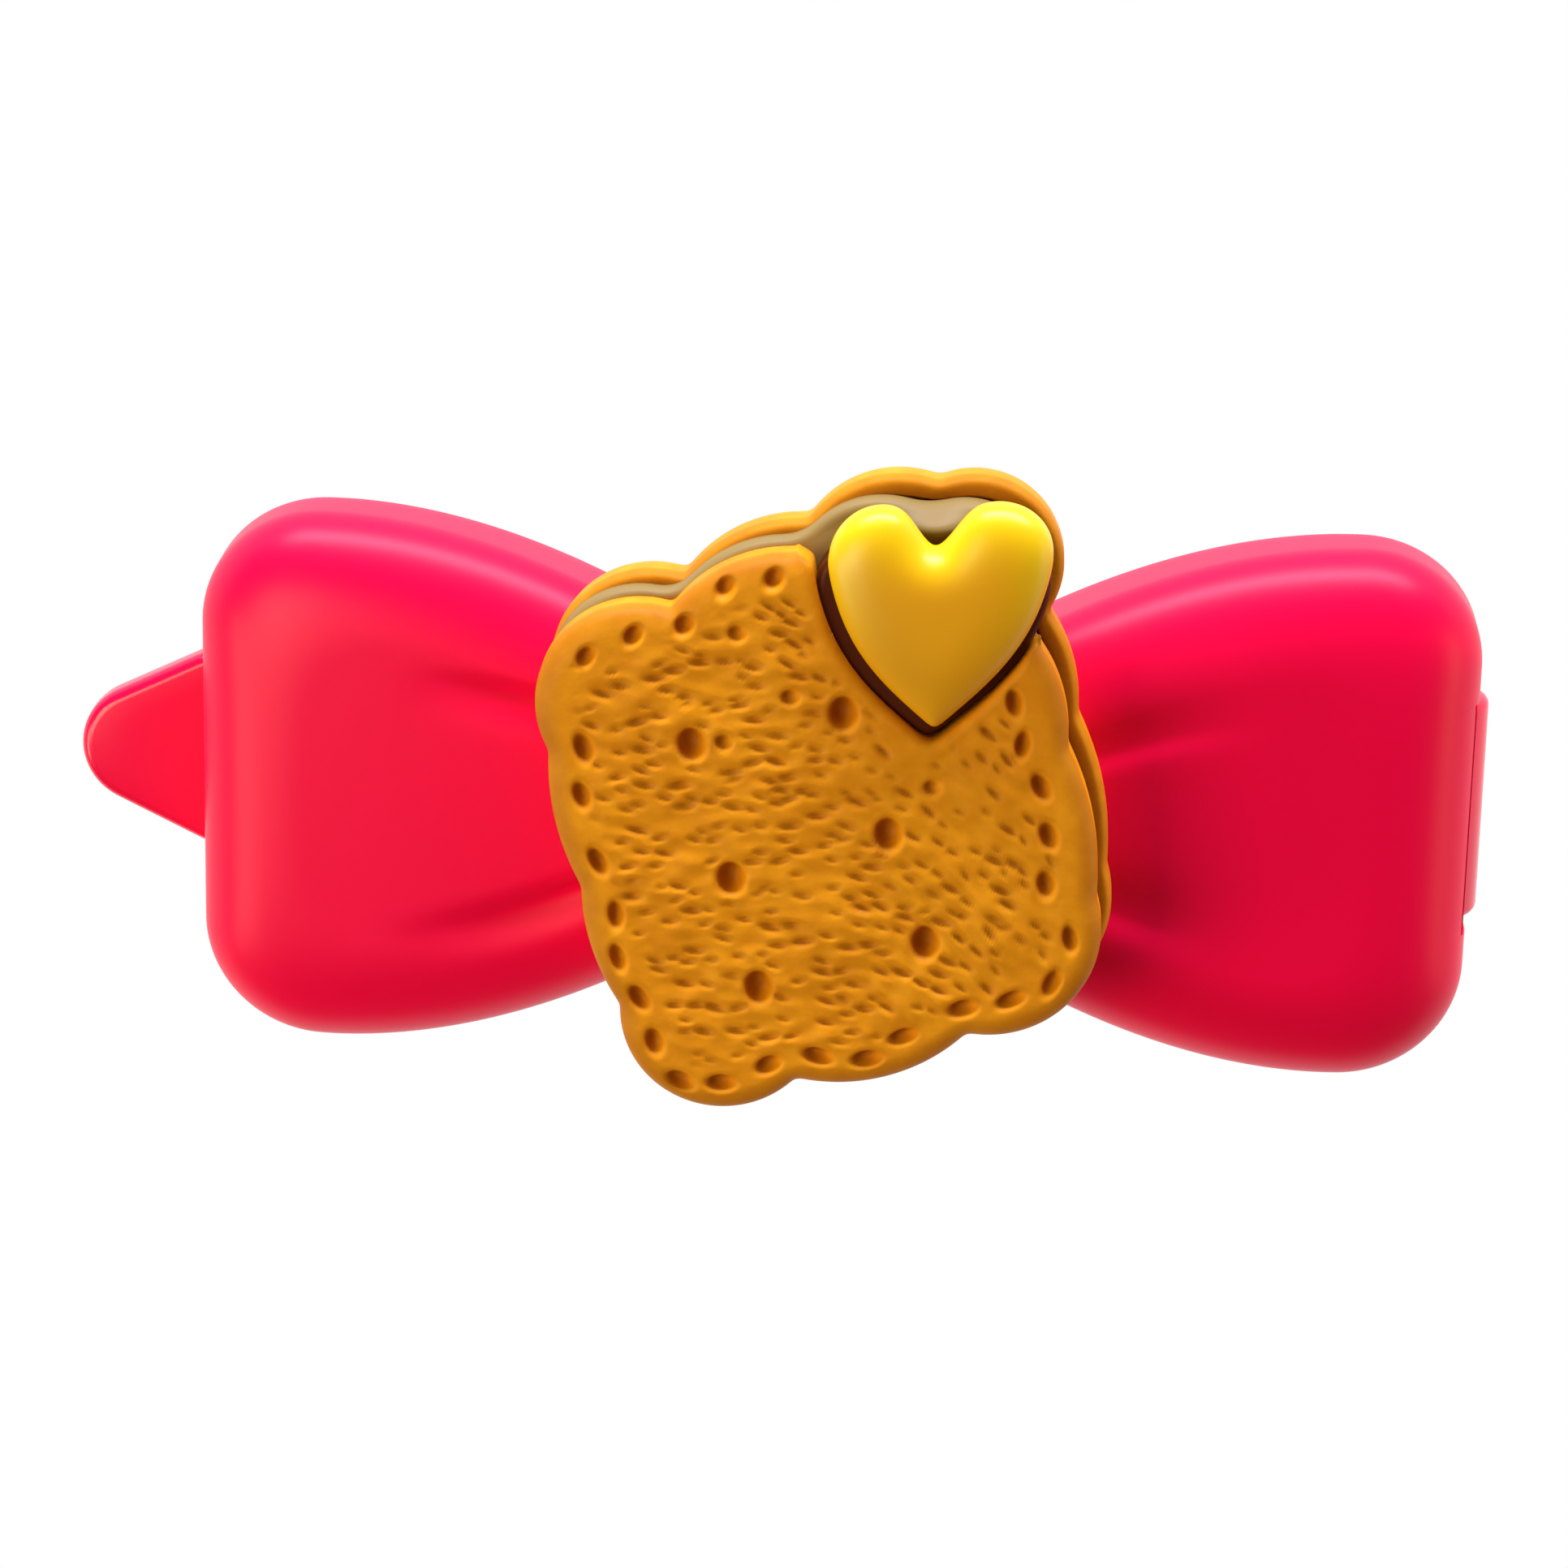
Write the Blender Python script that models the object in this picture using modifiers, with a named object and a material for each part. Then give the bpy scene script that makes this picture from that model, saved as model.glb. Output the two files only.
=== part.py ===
"""A snap hair clip: a moulded plastic bow over a hinged clasp arm, with a toy smore fixed to its middle.

Metres. The clip lies on its back: X runs along the bow towards the hinge, Y up the bow and Z towards
the viewer. The origin is under the middle of the bow, on the surface that the clasp arm lies on.
"""

import math

import bmesh
import bpy
from mathutils import Matrix, Vector
from mathutils.geometry import interpolate_bezier

MM = 0.001
GAP = 0.3 * MM  # between pieces that touch

# The clasp arm
ARM_THICK = 1.7 * MM
ARM_HALF_WIDTH = 4.25 * MM
ARM_EDGE = 0.45 * MM
TONGUE_TIP_X = -32.7 * MM
TONGUE_NOSE = 2.65 * MM  # radius of the tip
TONGUE_TAPER = math.radians(26)  # each side's angle to X
BARREL_RADIUS = 2.3 * MM
BARREL_HALF_LENGTH = 4.8 * MM
BARREL_CHAMFER = 0.4 * MM
BARREL_ROOM = 0.35 * MM  # between the barrel and the bow's notch
TRUNNION_RADIUS = 0.8 * MM
TRUNNION_LENGTH = 1.6 * MM
TRUNNION_CHAMFER = 0.2 * MM
HINGE_X = 25.2 * MM
HINGE_Z = BARREL_RADIUS

# The bow
BOW_HALF_LENGTH = 26.95 * MM
BOW_HALF_HEIGHT = 11.58 * MM
BOW_CREST_X = 21.5 * MM  # where the lobes are tallest
BOW_WAIST = 4.5 * MM  # half height under the smore
LOBE_FALL = 0.0278 * MM  # how fast a lobe narrows towards the waist, per millimetre to the power below
LOBE_POWER = 1.9
CORNER_X = 5.2 * MM
CORNER_Y = 5.0 * MM
BOW_TOP = 8.4 * MM
BOW_ARCH_RADIUS = 320 * MM
BOW_WALL = 1.6 * MM
BOW_RIM = ARM_THICK + GAP
BOW_CORNER_STEPS = 24
BOW_SIDE_STEPS = 60
ROLL_WIDTH = 4.2 * MM  # the rolled edge, measured inwards
ROLL_DEPTH = 3.2 * MM
FACE_ROWS = 14
HOLLOW_ROWS = 9
PLEAT_FROM = Vector((9.0, 3.0)) * MM  # a pleat's line on the upper right lobe
PLEAT_TO = Vector((18.0, 5.4)) * MM
PLEAT_DEPTH = 0.45 * MM
PLEAT_HALF_WIDTH = 0.9 * MM

# What holds the arm, under the bow
HOLDER_TOP = BOW_TOP - 2.4 * MM  # deep enough to join the bow's shell
NOTCH_REACH = 2.75 * MM  # the notch's depth behind the hinge axis
NOTCH_TRIM = 0.4 * MM  # what the notch takes off the ears' inner sides
EAR_THICK = 1.8 * MM
EAR_RADIUS = 1.45 * MM
EAR_FRONT = 0.87 * MM  # the ear's flat side, ahead of the hinge axis
EAR_HOLE = 0.9 * MM
CATCH_X = -22.5 * MM
CATCH_LENGTH = 3.0 * MM
CATCH_THICK = 1.2 * MM
CATCH_CLEARANCE = 0.15 * MM
CATCH_BOTTOM = 0.4 * MM
DETENT_HEIGHT = 0.3 * MM  # how far a detent stands out of its post
DETENT_INSET = 0.6 * MM  # from the post's ends to the detent's
DETENT_FROM = 0.6 * MM
DETENT_TO = 1.3 * MM

# The smore, in its own turned frame. Each scallop starts at (x, y) and bulges by the third number.
SMORE_TURN = math.radians(16)
SCALLOPS = (
    (10.7, 2.4, 0.4),
    (10.6, 7.0, 2.6),
    (7.6, 13.3, 0.95),
    (2.1, 13.05, 0.7),
    (-3.4, 12.0, 2.7),
    (-9.8, 7.4, 0.42),
    (-10.05, 1.4, 0.4),
    (-9.85, -4.0, 2.8),
    (-3.6, -8.9, 0.95),
    (3.75, -8.65, 2.25),
    (10.3, -4.2, 0.45),
)
CRACKER_THICK = 2.0 * MM
CRACKER_EDGE = 0.6 * MM
BACK_SHIFT = Vector((0.55, 0.35)) * MM  # the back cracker shows above and to the right
FRONT_SHORTER = 0.3 * MM  # at the top, where the layers behind show above the front cracker
FILLING_THICK = 0.7 * MM
FILLING_INSET = 0.35 * MM
FILLING_SHIFT = Vector((0.12, 0.43)) * MM  # straight up the clip
FILLING_EDGE = 0.15 * MM
SMORE_Z = BOW_TOP + GAP
FILLING_Z = SMORE_Z + CRACKER_THICK + GAP
FRONT_Z = FILLING_Z + FILLING_THICK + GAP
FRONT_TOP = FRONT_Z + CRACKER_THICK

# The hearts, in the clip's own frame
HEART_AT = Vector((4.05, 13.05)) * MM
HEART_LOBE = 2.2 * MM  # radius of a lobe
HEART_SPREAD = 2.3 * MM  # from the middle to a lobe's centre
HEART_LOBE_FROM = math.radians(-10)  # the round part of the right lobe
HEART_LOBE_TO = math.radians(148)
HEART_NOTCH = 0.45 * MM
HEART_DROP = 7.1 * MM
HEART_TIP_ANGLE = math.radians(48)  # each side's angle to Y at the tip
HEART_TIP_PULL = 2.8 * MM
HEART_SIDE_PULL = 3.5 * MM
HEART_LEFT, HEART_RIGHT = 0.95, 1.05  # the right half is the wider one
HEART_TIP_SHIFT = 0.2 * MM
HEART_RISE = 0.065  # the right lobe sits higher, by this share of the distance across
HEART_THICK = 1.7 * MM
HEART_ROLL_WIDTH = 2.1 * MM
HEART_ROLL_DEPTH = 1.3 * MM
HEART_ROWS = 7
HEART_MIDDLE = Vector((0, -1)) * MM  # inside the heart, seen from every point of its edge
HEART_BACK_EDGE = 0.1 * MM
CHOCOLATE_THICK = 1.4 * MM
CHOCOLATE_EDGE = 0.2 * MM
CHOCOLATE_AT = HEART_AT + Vector((-0.12, -0.22)) * MM  # it shows below and to the left
CHOCOLATE_SHORTER = 0.7 * MM  # hidden at the top, where the filling shows
POCKET_BORDER = 0.5 * MM  # of its seat in the front cracker
HEART_Z = FRONT_Z + CHOCOLATE_THICK + GAP
# The front cracker's missing corner, from the left side of the brown heart to its right side
CORNER_CUT = ((-0.8, 12.5), (4.2, 12.5), (4.2, 9.6), (30, 9.6), (30, 30), (-0.8, 30))
CORNER_CUT_MIDDLE = Vector((10, 18)) * MM
CUTTER_EDGE = 0.05 * MM
CUTTER_STEP = 0.2 * MM  # keeps the two cutters' faces apart

OUTLINE_POINTS = 112
SCALLOP_STEPS = 10


# ---------------------------------------------------------------- scene and materials


def clear_scene():
    for thing in list(bpy.data.objects):
        bpy.data.objects.remove(thing)


def new_collection(name, shown=True):
    collection = bpy.data.collections.new(name)
    collection.hide_render = not shown
    bpy.context.scene.collection.children.link(collection)
    return collection


def linear(channel):
    return channel / 12.92 if channel <= 0.04045 else ((channel + 0.055) / 1.055) ** 2.4


def plastic(name, hex_colour, roughness):
    material = bpy.data.materials.new(name)
    material.use_nodes = True
    shader = material.node_tree.nodes["Principled BSDF"]
    rgb = [linear(int(hex_colour[i : i + 2], 16) / 255) for i in (1, 3, 5)]
    shader.inputs["Base Color"].default_value = (*rgb, 1)
    shader.inputs["Roughness"].default_value = roughness
    shader.inputs["Metallic"].default_value = 0
    return material


def add_object(name, mesh, collection, material=None):
    made = bpy.data.objects.new(name, mesh)
    collection.objects.link(made)
    if material:
        mesh.materials.append(material)
    else:
        made.hide_render = True
        made.display_type = "WIRE"
    return made


# ---------------------------------------------------------------- outlines


def along(points, count):
    """The closed outline's points at count even distances along it."""
    lengths = [(b - a).length for a, b in zip(points, points[1:] + points[:1])]
    step = sum(lengths) / count
    found = []
    passed = 0.0
    for i, length in enumerate(lengths):
        start, end = points[i], points[(i + 1) % len(points)]
        while len(found) < count and len(found) * step < passed + length:
            found.append(start.lerp(end, (len(found) * step - passed) / length))
        passed += length
    return found


def inward_normals(points):
    """Unit vectors pointing left of the way round, which is inwards for a counter-clockwise outline."""
    found = []
    for i in range(len(points)):
        way = points[(i + 1) % len(points)] - points[i - 1]
        found.append(Vector((-way.y, way.x)).normalized())
    return found


def bow_half_height(x):
    """The lobe's falling curve, blended into the narrow waist."""
    fall = LOBE_FALL * (max(BOW_CREST_X - abs(x), 0) / MM) ** LOBE_POWER
    lobe = max(BOW_HALF_HEIGHT - fall, 0.1 * MM)
    return (lobe**6 + BOW_WAIST**6) ** (1 / 6)


def bow_outline(count):
    """Counter-clockwise from the middle of the right end: a quarter, then its mirror images."""
    corner_at = BOW_HALF_LENGTH - CORNER_X
    tall = bow_half_height(corner_at)
    quarter = [Vector((BOW_HALF_LENGTH, 0))]
    for i in range(BOW_CORNER_STEPS + 1):
        turn = math.radians(90) * i / BOW_CORNER_STEPS
        quarter.append(
            Vector((corner_at + CORNER_X * math.cos(turn), tall - CORNER_Y * (1 - math.sin(turn))))
        )
    for i in range(1, BOW_SIDE_STEPS + 1):
        x = corner_at * (1 - i / BOW_SIDE_STEPS)
        quarter.append(Vector((x, bow_half_height(x))))
    left = [Vector((-p.x, p.y)) for p in reversed(quarter[:-1])]
    upper = quarter + left
    return along(upper + [Vector((p.x, -p.y)) for p in reversed(upper[1:-1])], count)


def shortened(points, length):
    """Takes this length off the top, less and less further down and none at the bottom."""
    low, high = min(p.y for p in points), max(p.y for p in points)
    return [Vector((p.x, p.y - length * (p.y - low) / (high - low))) for p in points]


def scalloped_outline(shift):
    """The cracker's edge: an arc for each scallop, through its two notches and as high as its bulge."""
    points = []
    for here, there in zip(SCALLOPS, SCALLOPS[1:] + SCALLOPS[:1]):
        start, end = Vector(here[:2]) * MM, Vector(there[:2]) * MM
        bulge = here[2] * MM
        chord = end - start
        radius = (chord.length_squared / 4 + bulge**2) / (2 * bulge)
        outward = Vector((chord.y, -chord.x)).normalized()
        centre = (start + end) / 2 + outward * (bulge - radius)
        first, sweep = start - centre, 2 * math.asin(chord.length / 2 / radius)
        for i in range(SCALLOP_STEPS):
            turned = Matrix.Rotation(sweep * i / SCALLOP_STEPS, 2) @ first
            points.append(centre + turned + shift)
    return points


def heart_outline(border=0.0):
    """Two round lobes over sides that sweep down to the tip, grown all round by border."""
    tip = Vector((0, -HEART_DROP))
    lobe = Vector((HEART_SPREAD, 0))
    lean = Vector((math.sin(HEART_TIP_ANGLE), math.cos(HEART_TIP_ANGLE)))
    side_top = lobe + Matrix.Rotation(HEART_LOBE_FROM, 2) @ Vector((HEART_LOBE, 0))
    down = Matrix.Rotation(HEART_LOBE_FROM, 2) @ Vector((0, -HEART_SIDE_PULL))
    side = interpolate_bezier(tip, tip + lean * HEART_TIP_PULL, side_top + down, side_top, 11)
    half = [Vector(p[:2]) for p in side[:-1]]
    for i in range(17):
        turn = HEART_LOBE_FROM + (HEART_LOBE_TO - HEART_LOBE_FROM) * i / 16
        half.append(lobe + Matrix.Rotation(turn, 2) @ Vector((HEART_LOBE, 0)))
    half.append(Vector((0, HEART_NOTCH)))
    whole = half + [Vector((-p.x, p.y)) for p in half[-2:0:-1]]
    grown = [p - n * border for p, n in zip(whole, inward_normals(whole))]
    right = [p for p in grown[: len(half)] if p.x > -0.01 * MM]
    left = [p for p in grown[len(half) :] if p.x < -0.01 * MM]
    return [uneven(p) for p in right + left]


def uneven(p):
    """The heart isn't quite even: a wider and higher right half, and the tip a little to the right."""
    x = p.x * (HEART_RIGHT if p.x > 0 else HEART_LEFT) + HEART_TIP_SHIFT * max(-p.y, 0) / HEART_DROP
    return Vector((x, p.y + HEART_RISE * x))


def edge_distance(x, y, outline):
    """How far (x, y) is from the outline, without the creases of the plain distance.

    The sum of ds / r^3 along a long straight edge at the distance d is 2 / d^2, so d is sqrt(2 / sum).
    """
    total = 0.0
    for start, end in zip(outline, outline[1:] + outline[:1]):
        way = end - start
        length = way.length
        offset = start - Vector((x, y))
        first = offset.dot(way) / length
        last = first + length
        beside = max(offset.length_squared - first**2, 1e-12)  # the square of the distance off its line
        total += (last / math.sqrt(last**2 + beside) - first / math.sqrt(first**2 + beside)) / beside
    return math.sqrt(2 / total)


def rolled(distance, width, depth):
    """How far a rolled edge has dropped at this distance inside it: a quarter of an ellipse."""
    share = 1 - min(max(distance / width, 0), 1)
    return depth * (1 - math.sqrt(1 - share**2))


# ---------------------------------------------------------------- solids


def rows(count):
    """Sizes from 0 to 1 that come closer together towards 1, where an edge rolls over."""
    return [1 - (1 - i / count) ** 1.8 for i in range(count + 1)]


def skin(outline, levels, centre=Vector((0, 0))):
    """A closed mesh made of one ring for each level (inset, size, height).

    A ring is the outline moved inwards by inset and drawn towards the centre by size. Its height
    is a number or a function of (x, y). The first and last levels have size 0, which closes the mesh.
    """
    inward = inward_normals(outline)
    grid = bmesh.new()
    bmesh.ops.create_grid(grid, x_segments=len(outline), y_segments=len(levels) - 1, size=1)
    for vert in grid.verts:
        column = round((vert.co.x + 1) / 2 * len(outline)) % len(outline)
        row = round((vert.co.y + 1) / 2 * (len(levels) - 1))
        inset, size, height = levels[row]
        flat = centre + (outline[column] + inward[column] * inset - centre) * size
        vert.co = (*flat, height(*flat) if callable(height) else height)
    bmesh.ops.remove_doubles(grid, verts=grid.verts, dist=1e-7)
    bmesh.ops.recalc_face_normals(grid, faces=grid.faces)
    mesh = bpy.data.meshes.new("skin")
    grid.to_mesh(mesh)
    grid.free()
    return mesh


def slab(outline, thick, edge, steps=2, centre=Vector((0, 0))):
    """A flat plate on z = 0 with rounded edges."""
    levels = [(edge, 0, thick), (edge, 0.6, thick)]
    for side in (1, -1):
        for i in range(steps + 1):
            turn = math.radians(90) * (1 - i / steps if side > 0 else i / steps)
            level = thick / 2 + side * (thick / 2 - edge * (1 - math.sin(turn)))
            levels.append((edge * (1 - math.cos(turn)), 1, level))
    levels.append((edge, 0, 0))
    return skin(outline, levels, centre)


def box(name, low, high, collection):
    """A helper block between two corners."""
    block = bmesh.new()
    bmesh.ops.create_cube(block, size=1)
    low, high = Vector(low), Vector(high)
    for vert in block.verts:
        vert.co = Vector([a + (b - a) * (c + 0.5) for a, b, c in zip(low, high, vert.co)])
    mesh = bpy.data.meshes.new(name)
    block.to_mesh(mesh)
    block.free()
    return add_object(name, mesh, collection)


def rod(name, radius, centre, half_length, collection):
    """A helper cylinder along Y."""
    turn = Matrix.Translation(Vector(centre)) @ Matrix.Rotation(math.radians(90), 4, "X")
    cylinder = bmesh.new()
    bmesh.ops.create_cone(
        cylinder,
        cap_ends=True,
        segments=32,
        radius1=radius,
        radius2=radius,
        depth=2 * half_length,
        matrix=turn,
    )
    mesh = bpy.data.meshes.new(name)
    cylinder.to_mesh(mesh)
    cylinder.free()
    return add_object(name, mesh, collection)


def combine(target, helper, operation):
    """Adds a Boolean modifier that joins the helper to the target or cuts it away."""
    modifier = target.modifiers.new(helper.name, "BOOLEAN")
    modifier.operation = operation
    modifier.solver = "EXACT"
    modifier.object = helper


# ---------------------------------------------------------------- the bow


def pleats(x, y):
    """How far the four shallow pleats sink the bow's face: deepest at the smore, gone at their ends."""
    here = Vector((abs(x), abs(y))) - PLEAT_FROM
    line = PLEAT_TO - PLEAT_FROM
    share = here.dot(line) / line.length_squared
    off = (here - line * share).length / PLEAT_HALF_WIDTH
    fade = min(max(1 - share, 0), 1)
    return PLEAT_DEPTH * fade * math.exp(-(off**2))


def bow_face(x, y):
    return BOW_TOP - x**2 / (2 * BOW_ARCH_RADIUS) - pleats(x, y)


def bow_skin():
    """From the middle of the face over the rolled edge to the rim, and back up the hollow side."""
    outline = bow_outline(OUTLINE_POINTS)

    def face(x, y):
        return bow_face(x, y) - rolled(edge_distance(x, y, outline), ROLL_WIDTH, ROLL_DEPTH)

    def hollow(x, y):
        beyond_wall = edge_distance(x, y, outline) - BOW_WALL
        drop = rolled(beyond_wall, ROLL_WIDTH - BOW_WALL, ROLL_DEPTH - BOW_WALL)
        return bow_face(x, y) - BOW_WALL - drop

    levels = [(0, size, face) for size in rows(FACE_ROWS)]
    levels += [(0, 1, BOW_RIM), (BOW_WALL, 1, BOW_RIM)]
    levels += [(BOW_WALL, size, hollow) for size in reversed(rows(HOLLOW_ROWS))]
    return skin(outline, levels)


def add_hinge_seat(bow, helpers):
    """The notch that the barrel sits in, and an ear with a blind hole on each side of it."""
    side = BARREL_HALF_LENGTH + GAP
    for name, way in (("upper", 1), ("lower", -1)):
        edges = sorted((way * (side - NOTCH_TRIM), way * (side + EAR_THICK)))
        ear_low = (HINGE_X - EAR_RADIUS, edges[0], HINGE_Z)
        ear_high = (HINGE_X + EAR_FRONT, edges[1], HOLDER_TOP)
        combine(bow, box(f"ear_block_{name}", ear_low, ear_high, helpers), "UNION")
        centre = (HINGE_X, sum(edges) / 2, HINGE_Z)
        half_length = (edges[1] - edges[0]) / 2
        combine(bow, rod(f"ear_end_{name}", EAR_RADIUS, centre, half_length, helpers), "UNION")
    low = (HINGE_X - NOTCH_REACH, -side, 0)
    high = (BOW_HALF_LENGTH + BARREL_RADIUS, side, HINGE_Z + BARREL_RADIUS + BARREL_ROOM)
    combine(bow, box("hinge_notch", low, high, helpers), "DIFFERENCE")
    for name, way in (("upper", 1), ("lower", -1)):
        centre = (HINGE_X, way * (side + TRUNNION_LENGTH / 2 - GAP), HINGE_Z)
        hole = rod(f"ear_hole_{name}", EAR_HOLE, centre, TRUNNION_LENGTH / 2 + GAP, helpers)
        combine(bow, hole, "DIFFERENCE")


def add_catch(bow, helpers):
    """Two posts that stand beside the closed arm near the tongue, each with a small detent."""
    tip = ARM_HALF_WIDTH + CATCH_CLEARANCE
    side = tip + DETENT_HEIGHT
    low_x, high_x = CATCH_X - CATCH_LENGTH / 2, CATCH_X + CATCH_LENGTH / 2
    for name, way in (("upper", 1), ("lower", -1)):
        post_y = sorted((way * side, way * (side + CATCH_THICK)))
        low = (low_x, post_y[0], CATCH_BOTTOM)
        high = (high_x, post_y[1], HOLDER_TOP)
        combine(bow, box(f"catch_post_{name}", low, high, helpers), "UNION")
        detent_y = sorted((way * tip, way * (tip + 2 * DETENT_HEIGHT)))
        low = (low_x + DETENT_INSET, detent_y[0], DETENT_FROM)
        high = (high_x - DETENT_INSET, detent_y[1], DETENT_TO)
        combine(bow, box(f"catch_detent_{name}", low, high, helpers), "UNION")


def make_bow(parts, helpers, material):
    bow = add_object("bow", bow_skin(), parts, material)
    add_hinge_seat(bow, helpers)
    add_catch(bow, helpers)


# ---------------------------------------------------------------- the clasp arm


def arm_outline():
    """A straight strap with the tongue's tapered sides and round nose at its left end."""
    nose_at = TONGUE_TIP_X + TONGUE_NOSE
    side = Vector((-math.sin(TONGUE_TAPER), math.cos(TONGUE_TAPER))) * TONGUE_NOSE
    shoulder_x = nose_at + side.x + (ARM_HALF_WIDTH - side.y) / math.tan(TONGUE_TAPER)
    upper = [Vector((HINGE_X, ARM_HALF_WIDTH)), Vector((shoulder_x, ARM_HALF_WIDTH))]
    for i in range(9):
        turn = math.radians(90) + TONGUE_TAPER + (math.radians(90) - TONGUE_TAPER) * i / 8
        upper.append(
            Vector((nose_at + TONGUE_NOSE * math.cos(turn), TONGUE_NOSE * math.sin(turn)))
        )
    return upper + [Vector((p.x, -p.y)) for p in reversed(upper[:-1])]


def barrel_object(helpers):
    """The hinge barrel with its trunnions: half a profile turned about Y by a Screw modifier."""
    end = BARREL_HALF_LENGTH
    tip = end + TRUNNION_LENGTH - GAP
    half = [
        (BARREL_RADIUS, end - BARREL_CHAMFER),
        (BARREL_RADIUS - BARREL_CHAMFER, end),
        (TRUNNION_RADIUS, end),
        (TRUNNION_RADIUS, tip - TRUNNION_CHAMFER),
        (TRUNNION_RADIUS - TRUNNION_CHAMFER, tip),
        (0, tip),
    ]
    profile = [(r, -y) for r, y in reversed(half)] + half
    mesh = bpy.data.meshes.new("barrel")
    edges = [(i, i + 1) for i in range(len(profile) - 1)]
    mesh.from_pydata([(r, y, 0) for r, y in profile], edges, [])
    barrel = add_object("barrel", mesh, helpers)
    screw = barrel.modifiers.new("turn", "SCREW")
    screw.axis = "Y"
    screw.steps = 40
    screw.render_steps = 40
    screw.use_merge_vertices = True
    screw.merge_threshold = 1e-6
    screw.use_normal_calculate = True
    barrel.location = (HINGE_X, 0, HINGE_Z)
    return barrel


def make_arm(parts, helpers, material):
    """The arm's origin is on the hinge axis."""
    hinge = Vector((HINGE_X, 0, HINGE_Z))
    outline = along(arm_outline(), 84)
    mesh = slab(outline, ARM_THICK, ARM_EDGE)
    mesh.transform(Matrix.Translation(-hinge))
    arm = add_object("clasp_arm", mesh, parts, material)
    arm.location = hinge
    combine(arm, barrel_object(helpers), "UNION")


# ---------------------------------------------------------------- the smore


def make_smore(parts, helpers, materials):
    smore = bpy.data.objects.new("smore", None)
    parts.objects.link(smore)
    smore.rotation_euler.z = SMORE_TURN

    back = add_object(
        "cracker_back",
        slab(scalloped_outline(BACK_SHIFT), CRACKER_THICK, CRACKER_EDGE),
        parts,
        materials["cracker"],
    )
    back.location.z = SMORE_Z

    inner = scalloped_outline(FILLING_SHIFT)
    inward = inward_normals(inner)
    inner = [p + n * FILLING_INSET for p, n in zip(inner, inward)]
    filling = add_object(
        "filling",
        slab(inner, FILLING_THICK, FILLING_EDGE, 1),
        parts,
        materials["filling"],
    )
    filling.location.z = FILLING_Z

    front = add_object(
        "cracker_front",
        slab(shortened(scalloped_outline(Vector((0, 0))), FRONT_SHORTER), CRACKER_THICK, CRACKER_EDGE),
        parts,
        materials["cracker"],
    )
    front.location.z = FRONT_Z
    for piece in (back, filling, front):
        piece.parent = smore
    cut_pocket(front, helpers)


def cut_pocket(front, helpers):
    """Takes the front cracker's corner away, down to the point of the brown heart."""
    low_z, high_z = FRONT_Z - CRACKER_THICK / 2, FRONT_TOP + CRACKER_THICK / 2
    mesh = slab(heart_outline(POCKET_BORDER), high_z - low_z, CUTTER_EDGE, 1, HEART_MIDDLE)
    pocket = add_object("heart_pocket", mesh, helpers)
    pocket.location = (*CHOCOLATE_AT, low_z)
    combine(front, pocket, "DIFFERENCE")
    corner = [Vector(p) * MM for p in CORNER_CUT]
    mesh = slab(corner, high_z - low_z + 2 * CUTTER_STEP, CUTTER_EDGE, 1, CORNER_CUT_MIDDLE)
    missing_corner = add_object("missing_corner", mesh, helpers)
    missing_corner.location.z = low_z - CUTTER_STEP
    combine(front, missing_corner, "DIFFERENCE")


def make_hearts(parts, materials):
    outline = heart_outline()

    def puffed(x, y):
        return HEART_THICK - rolled(edge_distance(x, y, outline), HEART_ROLL_WIDTH, HEART_ROLL_DEPTH)

    levels = [(0, size, puffed) for size in rows(HEART_ROWS)]
    levels += [(0, 1, HEART_BACK_EDGE), (HEART_BACK_EDGE, 1, 0), (HEART_BACK_EDGE, 0, 0)]
    mesh = skin(outline, levels, HEART_MIDDLE)
    heart = add_object("yellow_heart", mesh, parts, materials["heart"])
    heart.location = (*HEART_AT, HEART_Z)
    mesh = slab(
        shortened(outline, CHOCOLATE_SHORTER), CHOCOLATE_THICK, CHOCOLATE_EDGE, 1, HEART_MIDDLE
    )
    chocolate = add_object("brown_heart", mesh, parts, materials["chocolate"])
    chocolate.location = (*CHOCOLATE_AT, FRONT_Z)


def main():
    clear_scene()
    parts = new_collection("hair_clip")
    helpers = new_collection("cutters", shown=False)
    materials = {
        "pink": plastic("hot_pink_plastic", "#f0083c", 0.3),
        "cracker": plastic("cracker_plastic", "#cf8a32", 0.55),
        "filling": plastic("filling_plastic", "#c9a878", 0.5),
        "chocolate": plastic("chocolate_plastic", "#4a2010", 0.45),
        "heart": plastic("yellow_plastic", "#e6b90c", 0.4),
    }
    make_arm(parts, helpers, materials["pink"])
    make_bow(parts, helpers, materials["pink"])
    make_smore(parts, helpers, materials)
    make_hearts(parts, materials)


main()
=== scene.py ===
"""Looks of a hair clip: a moulded plastic bow over a hinged clasp arm, with a toy smore fixed to it.

Every shape is worked out in millimetres with numpy and written to its mesh in metres. X runs along
the bow towards the hinge, Y up the bow and Z from the surface that the clip lies on to the viewer.
"""

import math

import bpy
import numpy as np
from mathutils import Matrix, Vector


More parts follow.
